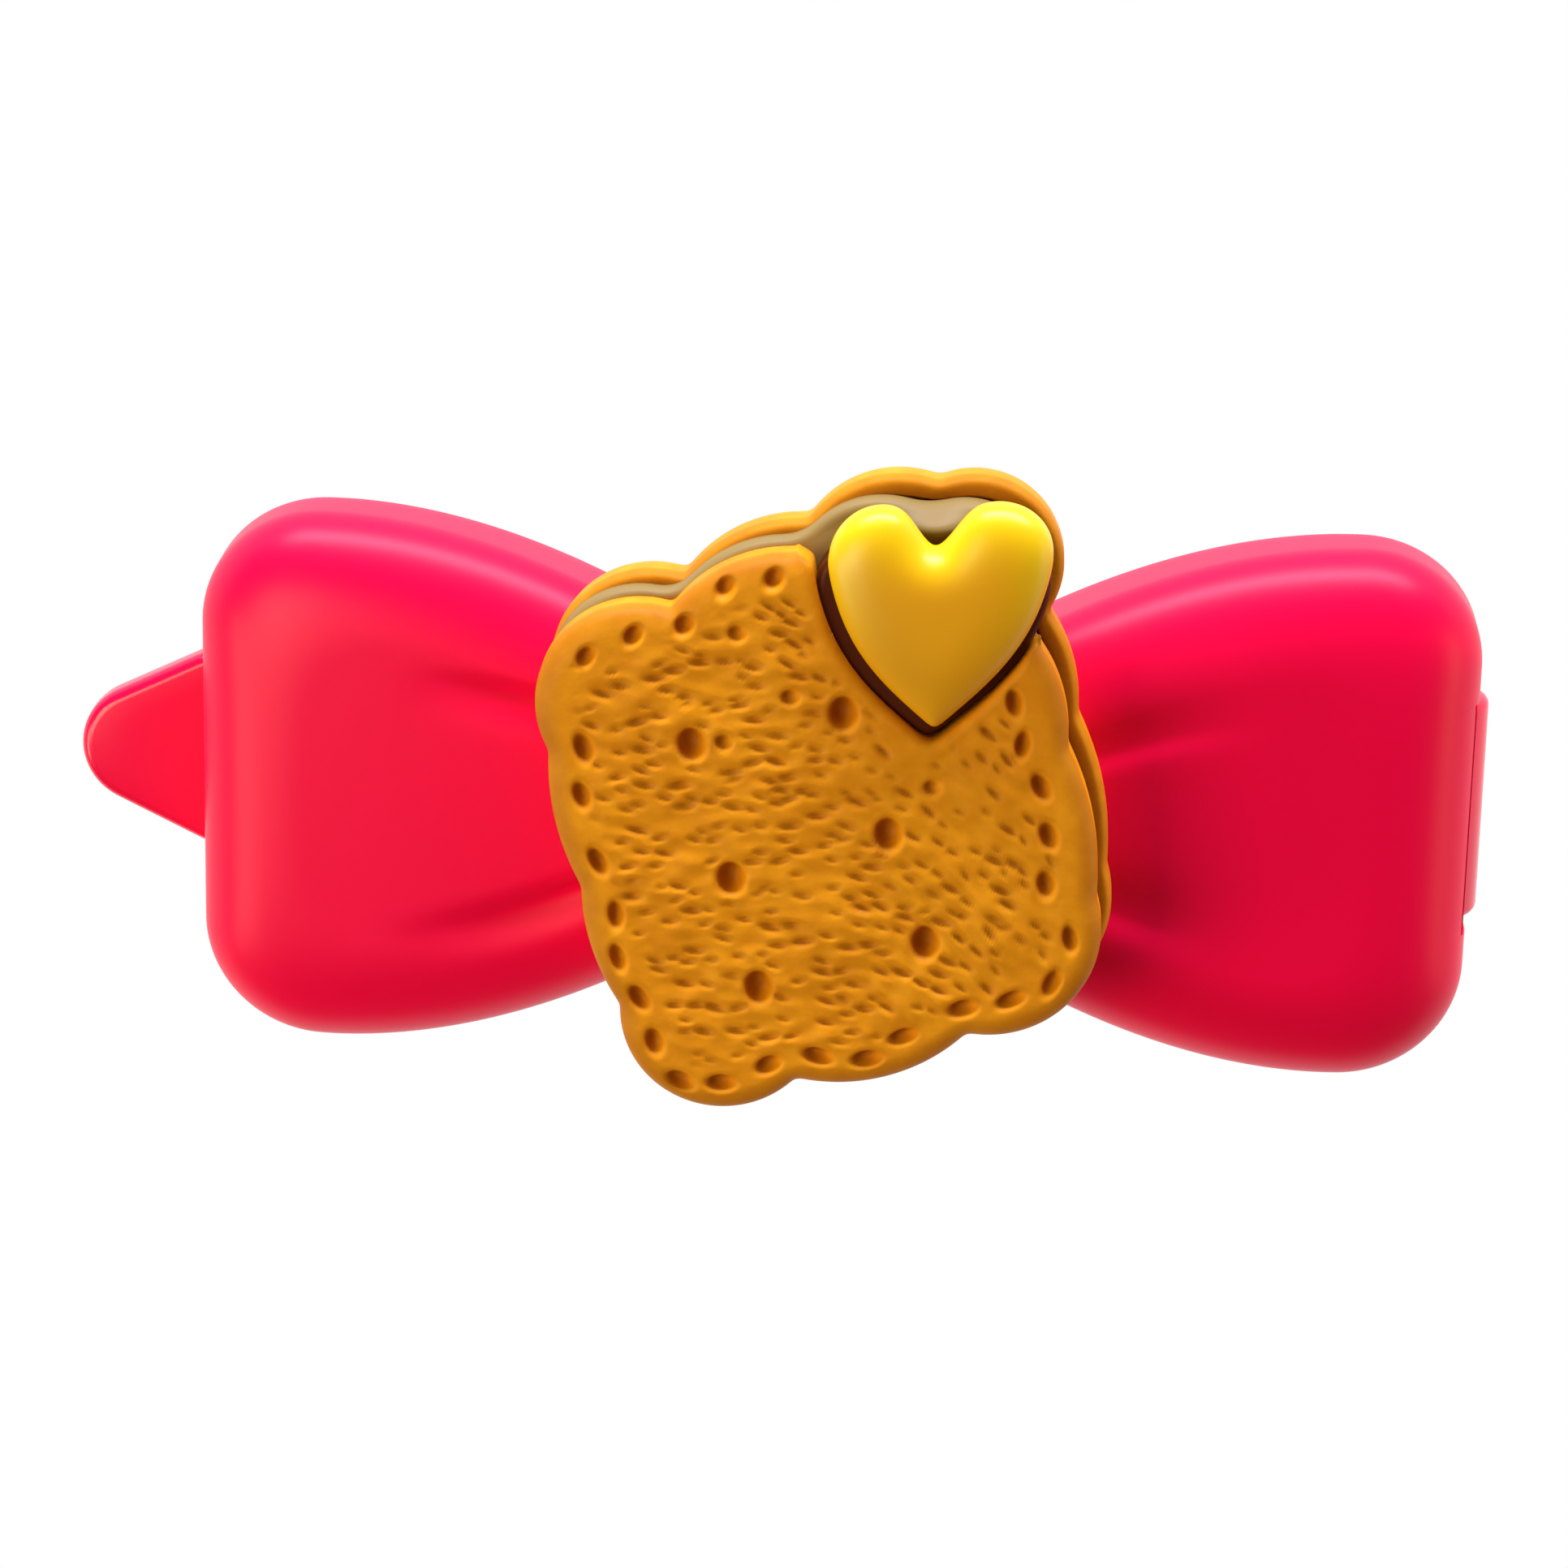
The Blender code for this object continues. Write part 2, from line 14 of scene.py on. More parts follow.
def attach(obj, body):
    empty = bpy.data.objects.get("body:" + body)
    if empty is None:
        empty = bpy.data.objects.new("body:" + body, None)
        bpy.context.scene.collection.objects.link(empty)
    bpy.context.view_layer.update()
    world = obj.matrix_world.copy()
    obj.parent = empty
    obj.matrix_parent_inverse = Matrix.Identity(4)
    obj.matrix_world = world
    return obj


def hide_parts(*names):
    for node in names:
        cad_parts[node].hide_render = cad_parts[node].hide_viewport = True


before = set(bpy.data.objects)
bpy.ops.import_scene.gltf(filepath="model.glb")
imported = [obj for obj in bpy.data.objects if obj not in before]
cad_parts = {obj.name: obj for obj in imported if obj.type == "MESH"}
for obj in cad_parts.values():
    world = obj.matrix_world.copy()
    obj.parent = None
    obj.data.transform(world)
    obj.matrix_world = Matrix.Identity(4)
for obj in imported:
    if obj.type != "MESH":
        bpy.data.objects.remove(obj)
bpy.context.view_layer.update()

MM = 0.001
rng = np.random.default_rng(24)


# ------------------------------------------------------------------ outlines and distances


def turned(points, degrees):
    """Points (..., 2) turned counter-clockwise about the origin."""
    c, s = math.cos(math.radians(degrees)), math.sin(math.radians(degrees))
    return points @ np.array([[c, s], [-s, c]])


def around(points):
    """Distance run at each point of a closed outline, and the whole way round at the end."""
    steps = np.linalg.norm(np.roll(points, -1, 0) - points, axis=1)
    return np.r_[0, np.cumsum(steps)]


def resample(points, count, start=0.0):
    """count points at even distances along a closed outline, from the share start of its length."""
    run = around(points)
    at = (np.arange(count) / count + start) % 1 * run[-1]
    closed = np.vstack([points, points[:1]])
    return np.stack([np.interp(at, run, closed[:, axis]) for axis in (0, 1)], axis=1)


def inward(points):
    """Unit normals to the left of the way round, which is inwards on a counter-clockwise outline."""
    way = np.roll(points, -1, 0) - np.roll(points, 1, 0)
    normal = np.stack([-way[:, 1], way[:, 0]], axis=1)
    return normal / np.linalg.norm(normal, axis=1, keepdims=True)


def soften(points, radius):
    """The closed outline blurred along itself by a bell of this radius, which rounds its corners."""
    frequency = np.fft.fftfreq(len(points), around(points)[-1] / len(points))
    damped = np.exp(-2 * (np.pi * frequency * radius) ** 2)[:, None]
    return np.fft.ifft(np.fft.fft(points, axis=0) * damped, axis=0).real


def in_parts(function, points, outline, most=3000):
    """Runs a function of (points, outline) on at most this many points at a time, to spare memory."""
    flat = points.reshape(-1, 2)
    parts = [function(part, outline) for part in np.array_split(flat, len(flat) // most + 1)]
    return np.concatenate(parts).reshape(points.shape[:-1] + parts[0].shape[1:])


def soft_distance(points, outline):
    """How far each point is from the edge, without the creases of the plain distance.

    The sum of ds / r^3 along a long straight edge is 2 / d^2, so the distance is taken as
    sqrt(2 / sum). A segment from t1 to t2 that passes at h gives (t2 / r2 - t1 / r1) / h^2.
    """

    def part(points, outline):
        way = np.roll(outline, -1, 0) - outline
        length = np.linalg.norm(way, axis=1)
        offset = outline[None] - points[:, None]
        t1 = (offset * (way / length[:, None])[None]).sum(axis=2)
        h2 = np.maximum((offset**2).sum(axis=2) - t1**2, 1e-9)
        t2 = t1 + length
        share = (t2 / np.sqrt(t2**2 + h2) - t1 / np.sqrt(t1**2 + h2)) / h2
        return np.sqrt(2 / share.sum(axis=1))

    return in_parts(part, points, outline)


def nearest(points, outline):
    """The closest point of the outline's segments to each point."""

    def part(points, outline):
        way = (np.roll(outline, -1, 0) - outline)[None]
        offset = points[:, None] - outline[None]
        share = np.clip((offset * way).sum(axis=2) / (way**2).sum(axis=2), 0, 1)
        found = outline[None] + way * share[..., None]
        best = ((found - points[:, None]) ** 2).sum(axis=2).argmin(axis=1)
        return found[np.arange(len(points)), best]

    return in_parts(part, points, outline)


def inside(points, outline):
    """Whether a line to the right of each point crosses the outline an odd number of times."""

    def part(points, outline):
        x, y = points[:, :1], points[:, 1:]
        ax, ay = outline.T
        bx, by = np.roll(outline, -1, 0).T
        spans = (ay[None] > y) != (by[None] > y)
        rise = np.where(by == ay, 1, by - ay)
        crossing = ax + (bx - ax) * (y - ay[None]) / rise
        return ((spans & (x < crossing)).sum(axis=1) % 2).astype(bool)

    return in_parts(part, points, outline)


def quarter_roll(distance, width, depth):
    """depth at the edge, falling to 0 at width inside it along a quarter ellipse."""
    share = 1 - np.clip(distance / width, 0, 1)
    return depth * (1 - np.sqrt(np.clip(1 - share**2, 0, 1)))


def ease(value, low, high):
    """0 below low, 1 above high and an S curve between them."""
    share = np.clip((value - low) / (high - low), 0, 1)
    return share * share * (3 - 2 * share)


def bell(points, centre, width):
    """exp(-(distance from the centre / width)^2) at each point."""
    return np.exp(-((points - centre) ** 2).sum(axis=1) / width**2)


# ------------------------------------------------------------------ meshes


def add_piece(name, points, faces, material, body, node, marks=None):
    """Writes arrays to a mesh. faces is a list of index arrays; a mark is a number for each vertex."""
    mesh = bpy.data.meshes.new(name)
    mesh.vertices.add(len(points))
    mesh.vertices.foreach_set("co", (points * MM).astype(np.float32).ravel())
    corners = np.concatenate([part.ravel() for part in faces]).astype(np.int32)
    sizes = np.concatenate([np.full(len(part), part.shape[1]) for part in faces])
    mesh.loops.add(len(corners))
    mesh.loops.foreach_set("vertex_index", corners)
    mesh.polygons.add(len(sizes))
    starts = np.r_[0, np.cumsum(sizes)[:-1]].astype(np.int32)
    mesh.polygons.foreach_set("loop_start", starts)
    mesh.update(calc_edges=True)
    mesh.shade_smooth()
    for mark, values in (marks or {}).items():
        attribute = mesh.attributes.new(mark, "FLOAT", "POINT")
        attribute.data.foreach_set("value", values.astype(np.float32).ravel())
    mesh.materials.append(material)
    piece = bpy.data.objects.new(name, mesh)
    bpy.context.scene.collection.objects.link(piece)
    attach(piece, body)
    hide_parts(node)


def ringed(rings):
    """Points and faces of rings (rows, columns, 3) joined in order, with a fan over each end.

    The surface faces the side that (way down the rows) x (way along the columns) points to.
    """
    rows, columns = rings.shape[:2]
    at = np.arange(rows * columns).reshape(rows, columns)
    after = np.roll(at, -1, axis=1)
    sides = np.stack([at[:-1], at[1:], after[1:], after[:-1]], axis=-1).reshape(-1, 4)
    first, last = rows * columns, rows * columns + 1
    start = np.stack([np.full(columns, first), at[0], after[0]], axis=1)
    end = np.stack([np.full(columns, last), after[-1], at[-1]], axis=1)
    points = np.vstack([rings.reshape(-1, 3), rings[0].mean(axis=0), rings[-1].mean(axis=0)])
    return points, [sides, start, end]


def merged(*shells):
    """Several closed shells as one set of points and faces."""
    points, faces, count = [], [], 0
    for shell_points, shell_faces in shells:
        points.append(shell_points)
        faces += [part + count for part in shell_faces]
        count += len(shell_points)
    return np.vstack(points), faces


def slab(outline, low, high, edge, steps):
    """Rings of a plate between two heights whose edges are quarter circles of radius edge.

    One more ring inside each flat face, 6% nearer its middle, keeps the face's shading flat.
    """
    nearer = 0.06
    turn = np.linspace(0, np.pi / 2, steps + 1)
    inset = np.r_[edge * (1 - np.sin(turn)), edge * (1 - np.cos(turn))]
    height = np.r_[high - edge * (1 - np.cos(turn)), low + edge * (1 - np.sin(turn))]
    rings = outline[None] + inward(outline)[None] * inset[:, None, None]
    level = np.broadcast_to(height[:, None, None], rings.shape[:2] + (1,))
    rings = np.concatenate([rings, level], axis=2)
    ends = rings[[0, -1]]
    flat = (1 - nearer) * ends + nearer * ends.mean(axis=1, keepdims=True)
    return np.concatenate([flat[:1], rings, flat[1:]])


def grid_triangles(cells):
    """Each cell of a square grid as two triangles, counter-clockwise from above."""
    at = np.arange((cells + 1) ** 2).reshape(cells + 1, cells + 1)
    a, b, c, d = (part.ravel() for part in (at[:-1, :-1], at[:-1, 1:], at[1:, 1:], at[1:, :-1]))
    return np.concatenate([np.stack([a, b, c], 1), np.stack([a, c, d], 1)])


def square_grid(outline, centre, core, cells, crowd=0.6):
    """A square of cells x cells laid into the outline: its points, its triangles and its edge.

    The outline's first point goes to the square's lower right corner. At the share p round the
    ring of half width s, the point is centre + s * ((1 - s) * core * square(p) + s * (outline(p) -
    centre)). crowd brings the rings closer together at the edge.
    """
    side = np.linspace(-1, 1, cells + 1)
    u, v = np.meshgrid(side, side)
    ring = np.maximum(abs(u), abs(v))
    a, b = u / np.where(ring > 0, ring, 1), v / np.where(ring > 0, ring, 1)
    share = np.select(
        [a >= 1, b >= 1, a <= -1, b <= -1],
        [(b + 1) / 2, 1 + (1 - a) / 2, 2 + (1 - b) / 2, 3 + (a + 1) / 2],
        0,
    )
    edge = resample(outline, 4 * cells)
    closed = np.vstack([edge, edge[:1]])
    at = share * cells
    edge_at = np.stack([np.interp(at, np.arange(4 * cells + 1), closed[:, k]) for k in (0, 1)], -1)
    s = ((1 - crowd) * ring + crowd * np.sin(ring * np.pi / 2))[..., None]
    square = np.stack([a, b], axis=-1) * core
    xy = centre + s * ((1 - s) * square + s * (edge_at - centre))
    return xy.reshape(-1, 2), grid_triangles(cells), edge


def cut_away(xy, triangles, cut):
    """Takes the triangles inside the cut away, and moves the corners that it halves onto its edge."""
    within = inside(xy, cut)
    crossed = within[triangles].any(axis=1) & ~within[triangles].all(axis=1)
    moved = np.unique(triangles[crossed][within[triangles[crossed]]])
    xy = xy.copy()
    xy[moved] = nearest(xy[moved], cut)
    return xy, triangles[~within[triangles].all(axis=1)]


def plate(xy, triangles, top, bottom):
    """A closed plate from the heights of its top and bottom, with an upright wall.

    The wall stands on the triangle edges that have no neighbour. The third result says which
    points were used: those of the top come first, in this order.
    """
    levels = 3
    used, triangles = np.unique(triangles, return_inverse=True)
    triangles = triangles.reshape(-1, 3)
    xy, top, bottom = xy[used], top[used], np.broadcast_to(bottom, top.shape)[used]
    count = len(used)
    edges = np.concatenate([triangles[:, [0, 1]], triangles[:, [1, 2]], triangles[:, [2, 0]]])
    lone = ~np.isin(edges[:, 0] * count + edges[:, 1], edges[:, 1] * count + edges[:, 0])
    rim, edge = np.unique(edges[lone], return_inverse=True)
    edge = edge.reshape(-1, 2)
    points = [np.c_[xy, top], np.c_[xy, bottom]]
    index = [rim]
    for level in range(1, levels):
        share = level / levels
        points.append(np.c_[xy[rim], top[rim] * (1 - share) + bottom[rim] * share])
        index.append(2 * count + (level - 1) * len(rim) + np.arange(len(rim)))
    index.append(rim + count)
    walls = [
        np.stack([upper[edge[:, 1]], upper[edge[:, 0]], lower[edge[:, 0]], lower[edge[:, 1]]], 1)
        for upper, lower in zip(index, index[1:])
    ]
    return np.vstack(points), [triangles, triangles[:, ::-1] + count, np.vstack(walls)], used


# ------------------------------------------------------------------ materials

HOT_PINK = "#ff0044"


def colour(code):
    """An sRGB hex colour as linear red, green, blue and 1."""
    srgb = np.array([int(code[i : i + 2], 16) for i in (1, 3, 5)]) / 255
    return (*np.where(srgb <= 0.04045, srgb / 12.92, ((srgb + 0.055) / 1.055) ** 2.4), 1.0)


def add_node(tree, kind, inputs=None, **settings):
    """Adds a node with its settings; an input is a number, a colour or another node's output."""
    made = tree.nodes.new(kind)
    for key, value in settings.items():
        setattr(made, key, value)
    for key, value in (inputs or {}).items():
        if isinstance(value, bpy.types.NodeSocket):
            tree.links.new(value, made.inputs[key])
        else:
            made.inputs[key].default_value = value
    return made


def noise(tree, cell_mm, detail):
    """The output of a noise in the piece's own space, with cells of this real size."""
    place = add_node(tree, "ShaderNodeTexCoord").outputs["Object"]
    inputs = {"Vector": place, "Scale": 1 / (cell_mm * MM), "Detail": detail}
    return add_node(tree, "ShaderNodeTexNoise", inputs).outputs["Fac"]


def own_mark(tree, mark):
    """The output that reads this mark of the mesh."""
    return add_node(tree, "ShaderNodeAttribute", attribute_name=mark).outputs["Fac"]


def mixed(tree, factor, low, high):
    """The output of a mix of two colours: low where factor is 0 and high where it is 1."""
    inputs = {"Factor": factor, "A": low, "B": high}
    return add_node(tree, "ShaderNodeMix", inputs, data_type="RGBA").outputs["Result"]


def new_material(name, **inputs):
    """A Principled material, its tree and its shader. The inputs are the shader's own sockets."""
    material = bpy.data.materials.new(name)
    material.use_nodes = True
    tree = material.node_tree
    shader = tree.nodes["Principled BSDF"]
    for key, value in inputs.items():
        shader.inputs[key.replace("_", " ")].default_value = value
    return material, tree, shader


def mould_grain(tree, shader, cell_mm, depth_mm, strength):
    """A fine unevenness of the moulded skin, as a bump with this real cell size and depth."""
    height = noise(tree, cell_mm, detail=3.0)
    inputs = {"Height": height, "Distance": depth_mm * MM, "Strength": strength}
    bump = add_node(tree, "ShaderNodeBump", inputs)
    tree.links.new(bump.outputs["Normal"], shader.inputs["Normal"])


def plain_plastic(name, code, grain, **inputs):
    """A plastic of one colour. grain is the cell size, depth and strength of its mould_grain."""
    material, tree, shader = new_material(name, Base_Color=colour(code), **inputs)
    mould_grain(tree, shader, *grain)
    return material


def bow_plastic():
    """Injection-moulded polypropylene in hot pink: saturated, with a soft satin sheen."""
    name, grain = "satin_moulded_hot_pink_polypropylene", (0.35, 0.01, 0.25)
    return plain_plastic(name, HOT_PINK, grain, Roughness=0.35, IOR=1.49, Specular_IOR_Level=0.2)


def arm_plastic():
    """The same plastic from a polished mould, so its edges catch short bright streaks."""
    name, grain = "polished_moulded_hot_pink_polypropylene", (0.8, 0.01, 0.15)
    return plain_plastic(name, HOT_PINK, grain, Roughness=0.2, IOR=1.49)


def cracker_plastic():
    """Soft moulded vinyl in toasted tan: matte, uneven in colour, with painted shade darkening it down
    in its pits and holes.
    """
    material, tree, shader = new_material(
        "matte_moulded_toasted_vinyl", Roughness=0.5, IOR=1.5, Specular_IOR_Level=0.12
    )
    light, dark, pit = colour("#f6a416"), colour("#e28e0e"), colour("#8a4205")
    # the toasted colour drifts over about 6 mm, with soft blotches of about 1 mm and finer
    drift, blotch = noise(tree, 6, detail=2.0), noise(tree, 1, detail=4.0)
    both = add_node(tree, "ShaderNodeMath", {0: drift, 1: blotch}, operation="MULTIPLY")
    inputs = {"Value": both.outputs[0], "From Min": 0.12, "From Max": 0.4}
    spread = add_node(tree, "ShaderNodeMapRange", inputs)
    crust = mixed(tree, spread.outputs[0], dark, light)
    # the mark is the toasted edge plus painted shade in the pits, beside the holes and over the back
    # rim
    face = mixed(tree, own_mark(tree, "pit"), crust, pit)
    tree.links.new(face, shader.inputs["Base Color"])
    mould_grain(tree, shader, 0.2, 0.02, 0.5)
    return material


def filling_plastic():
    """Painted vinyl in a greyish tan: the layer between the crackers, nearly matte."""
    name, grain = "matte_painted_grey_tan_vinyl", (0.5, 0.02, 0.3)
    return plain_plastic(name, "#9a7f42", grain, Roughness=0.5, Specular_IOR_Level=0.3)


def chocolate_plastic():
    """Painted vinyl in dark chocolate brown, satin."""
    name, grain = "satin_painted_chocolate_vinyl", (0.3, 0.01, 0.3)
    return plain_plastic(name, "#522004", grain, Roughness=0.4, Specular_IOR_Level=0.15)


def heart_plastic():
    """Soft moulded vinyl in butter yellow, with a broad soft gloss and painted light that makes its
    upper rim paler.
    """
    material, tree, shader = new_material(
        "soft_gloss_moulded_yellow_vinyl", Roughness=0.36, Specular_IOR_Level=0.45
    )
    # painted light: the mark turns the upper rim from golden to pale yellow
    butter = mixed(tree, own_mark(tree, "thin"), colour("#eba800"), colour("#fbd400"))
    tree.links.new(butter, shader.inputs["Base Color"])
    mould_grain(tree, shader, 0.4, 0.01, 0.2)
    return material


# ------------------------------------------------------------------ the bow

BOW_END = 26.95  # half length
BOW_CREST = 11.58  # half height at the crests of the lobes
BOW_RIM = 2.0  # how high the shell's rim stands
FACE_TOP, FACE_BEND = 8.4, 640
ROLL_WIDTH, ROLL_DEPTH = 4.2, 3.2
WALL = 1.6
# the notch in the bow's end, over the hinge: half width, height, and what it takes off the roll
NOTCH_SIDE, NOTCH_TOP, NOTCH_CUT = 5.1, 4.95, 0.164
HINGE_X, HINGE_Z = 25.2, 2.3
# the ears, and how far from the middle they start and end
EAR_RADIUS, EAR_TOP = 1.45, 6.0
EAR_NEAR, EAR_FAR = 5.1, 6.9
# each pleat runs from the waist outwards: its start and end, depth, and width above and below it
PLEATS = (
    ((-8.5, 3.7), (-18.5, 5.3), 0.34, 0.4, 0.8),
    ((-8.0, -2.4), (-19.0, -6.4), 0.5, 0.48, 0.95),
    ((8.5, 2.2), (18.5, 5.1), 0.22, 1.1, 0.5),
    ((8.5, -2.0), (17.0, -5.0), 0.3, 1.3, 0.6),
)
PLEAT_BEND = 0.35  # how far the middle of a pleat's line bends outwards


def bow_outline(count):
    """Counter-clockwise from the middle of the right end.

    The half height is a curve that falls from each crest by fall * distance^1.9 and blends into
    the waist as the 6th root of a sum of 6th powers; the corners are quarter ellipses.
    """
    corner_x, corner_y = 5.2, 5.0
    corner_at = BOW_END - corner_x
    crest_at, fall, power = 21.5, 0.0278, 1.9
    waist, blend = 4.5, 6

    def half_height(x):
        lobe = np.maximum(BOW_CREST - fall * np.maximum(crest_at - x, 0) ** power, 0.1)
        return (lobe**blend + waist**blend) ** (1 / blend)

    turn = np.linspace(0, np.pi / 2, 60)
    x = corner_at * (1 - np.linspace(0, 1, 200))[1:]
    corner_top = half_height(corner_at)
    quarter = np.vstack(
        [
            [(BOW_END, 0)],
            np.c_[corner_at + corner_x * np.cos(turn), corner_top - corner_y * (1 - np.sin(turn))],
            np.c_[x, half_height(x)],
        ]
    )
    upper = np.vstack([quarter, (quarter * (-1, 1))[-2::-1]])
    return resample(np.vstack([upper, (upper * (1, -1))[-2:0:-1]]), count)


def pleats(x, y):
    """The bow's pleats: each is a valley along its bent line that fades out at both ends.

    Its profile is a bell with one width above the line and another below it, which makes a crease.
    """
    sunk = np.zeros_like(x)
    for start, end, depth, above, below in PLEATS:
        start, line = np.array(start), np.subtract(end, start)
        along = ((x - start[0]) * line[0] + (y - start[1]) * line[1]) / (line**2).sum()
        curve = PLEAT_BEND * np.sign(start[1]) * np.sin(np.pi * np.clip(along, 0, 1))
        off = ((x - start[0]) * line[1] - (y - start[1]) * line[0]) / np.hypot(*line)
        off = off * np.sign(start[0]) + curve
        fade = ease(along, -0.3, 0.05) * (1 - ease(along, 0.25, 1.0))
        width = np.where(off < 0, above, below) * (1 + 0.5 * np.clip(along, 0, 1))
        sunk += depth * fade * np.exp(-((off / width) ** 2))
    return sunk


def make_bow(material):
    """Columns round the outline, rows from the face's middle over the rolled edge and up inside.

    The face is FACE_TOP - x^2 / FACE_BEND less the pleats. The roll is a quarter ellipse that ends
    in an upright wall down to the rim. At the hinge's notch the rows stop higher.
    """
    outline = bow_outline(560)
    end = outline[:, 0] > BOW_END - 0.01
    # the two columns beside each side of the notch are moved close to it, which makes it upright
    for side in (NOTCH_SIDE, -NOTCH_SIDE):
        close = np.where(end)[0][np.argsort(abs(outline[end, 1] - side))[:2]]
        near, far = close[np.argsort(abs(outline[close, 1]))]
        outline[near, 1], outline[far, 1] = side * 0.999, side * 1.003
    notch = end & (abs(outline[:, 1]) < NOTCH_SIDE)
    foot = np.where(notch, NOTCH_TOP, BOW_RIM)

    def face(xy):
        return FACE_TOP - xy[..., 0] ** 2 / FACE_BEND

    def stacked(xy, z):
        return np.concatenate([xy, z[..., None]], axis=-1)

    # over the face and down the roll, in rows that lie closer together towards the edge
    sizes = 1 - (1 - np.linspace(0.008, 1, 92)) ** 1.8
    reach = outline * np.where(notch, 1 - NOTCH_CUT / BOW_END, 1)[:, None]
    over = reach[None] * sizes[:, None, None]
    drop = quarter_roll(soft_distance(over, outline), ROLL_WIDTH, ROLL_DEPTH)
    over = stacked(over, face(over) - pleats(over[..., 0], over[..., 1]) - drop)

    # the rounded rim between the outer and the inner wall
    edge, bend = 0.35, np.linspace(0, np.pi / 2, 5)
    start = np.where(notch, NOTCH_CUT, 0)
    inset = np.r_[edge * (1 - np.cos(bend)), WALL - edge * (1 - np.cos(bend[::-1]))]
    inset = start[None] + inset[:, None] * (1 - start / WALL)[None]
    lift = edge * (1 - np.sin(np.r_[bend, bend[::-1]]))[:, None] * np.where(notch, 0.3, 1)[None]
    rim = stacked(outline[None] + inward(outline)[None] * inset[..., None], foot[None] + lift)
    wall = [over[-1] * (1 - t) + rim[0] * t for t in (0.25, 0.5, 0.75)]

    # up the inner wall and over the hollow's ceiling, in a third as many rows
    inner = outline + inward(outline) * WALL
    under = inner[None] * sizes[::-3][:, None, None]
    within = soft_distance(under, outline[::2]) - WALL
    ceiling = face(under) - WALL - quarter_roll(within, ROLL_WIDTH - WALL, ROLL_DEPTH - WALL)
    under = stacked(under, np.maximum(ceiling, foot[None]))

    shell = ringed(np.concatenate([over, np.array(wall), rim, under]))
    points, faces = merged(shell, ear(1), ear(-1), *catch(1), *catch(-1))
    add_piece("bow_shell", points, faces, material, "bow_and_smore", "bow")


def ear(way):
    """One of the two lugs that hold the hinge's pin: a plate with a round lower end."""
    turn = np.linspace(np.pi, 2 * np.pi, 40)
    round_end = np.c_[HINGE_X + EAR_RADIUS * np.cos(turn), HINGE_Z + EAR_RADIUS * np.sin(turn)]
    # its outer side leans in under the bow's roll
    upper = [(HINGE_X + 0.95, 3.6), (HINGE_X + 0.87, EAR_TOP), (HINGE_X - EAR_RADIUS, EAR_TOP)]
    outline = soften(resample(np.vstack([round_end, upper]), 160), 0.06)
    low_y, high_y = sorted((way * EAR_NEAR, way * EAR_FAR))
    rings = slab(outline, -high_y, -low_y, edge=0.15, steps=3)
    return ringed(np.stack([rings[..., 0], -rings[..., 2], rings[..., 1]], axis=-1))


def catch(way):
    """The post beside the closed arm and the small nub on it that the arm clicks over."""

    def block(x, y, z):
        (low_x, high_x), (low_y, high_y) = x, sorted(y)
        corners = np.array([(high_x, low_y), (high_x, high_y), (low_x, high_y), (low_x, low_y)])
        return ringed(slab(soften(resample(corners, 80), 0.08), *z, edge=0.12, steps=3))

    post = block((-24.0, -21.0), (way * 4.7, way * 5.9), (0.4, 6.0))
    nub = block((-23.4, -21.6), (way * 4.4, way * 4.9), (0.6, 1.3))
    return post, nub


# ------------------------------------------------------------------ the clasp arm


def make_arm(material):
    """The strap with its tapered tongue, the hinge's barrel and the pins at the barrel's ends."""
    thickness, half_width, heel = 1.7, 4.25, 1.0  # the heel is its corners' radius at the hinge
    nose, tip, taper = 2.65, -32.7, math.radians(26)
    nose_at = tip + nose
    shoulder = nose_at - nose * math.sin(taper)
    shoulder += (half_width - nose * math.cos(taper)) / math.tan(taper)
    turn = np.linspace(np.pi / 2 + taper, np.pi, 40)
    corner = np.linspace(0, np.pi / 2, 20)
    upper = np.vstack(
        [
            np.c_[HINGE_X - heel + heel * np.cos(corner), half_width - heel + heel * np.sin(corner)],
            [(shoulder, half_width)],
            np.c_[nose_at + nose * np.cos(turn), nose * np.sin(turn)],
        ]
    )
    outline = soften(resample(np.vstack([upper, (upper * (1, -1))[-2::-1]]), 700), 0.12)
    strap = ringed(slab(outline, 0.0, thickness, edge=0.5, steps=8))

    # the barrel's profile out to a pin: its rounded end, then the pin's radii and their places
    barrel, bevel, bevel_at = 2.3, 0.4, 4.4
    pin, pin_at = (0.8, 0.8, 0.6), (4.85, 5.9, 6.1)
    bend = np.linspace(0, np.pi / 2, 5)
    radius = np.r_[barrel - bevel * (1 - np.cos(bend)), pin]
    along = np.r_[bevel_at + bevel * np.sin(bend), pin_at]
    radius, along = np.r_[radius[::-1], radius], np.r_[-along[::-1], along]
    turn = np.linspace(0, 2 * np.pi, 96, endpoint=False)
    rings = np.stack(
        [
            HINGE_X + radius[:, None] * np.cos(turn),
            along[:, None] + 0 * turn,
            HINGE_Z + radius[:, None] * np.sin(turn),
        ],
        axis=-1,
    )
    points, faces = merged(strap, ringed(rings))
    add_piece("arm_and_barrel", points, faces, material, "clasp", "clasp_arm")


# ------------------------------------------------------------------ the smore

SMORE_TURN = 16  # degrees
BACK_SHIFT = turned(np.array([0.55, 0.35]), SMORE_TURN)
FILLING_SHIFT = np.array([0.0, 0.45])  # straight up the clip, as its solid is
HEART_AT = np.array([4.05, 13.05])
CHOCOLATE_AT = HEART_AT + (-0.12, -0.22)
# how high the layers lie, from back to front
BACK_LOW, BACK_TOP = 8.1, 10.7
FILLING_LOW, FILLING_TOP = 10.98, 11.95  # from just under the top of the back cracker's rim
FRONT_LOW, FRONT_TOP = 11.8, 14.0
CHOCOLATE_LOW, CHOCOLATE_TOP = 11.9, 13.5
HEART_LOW, HEART_TOP = 13.45, 15.4
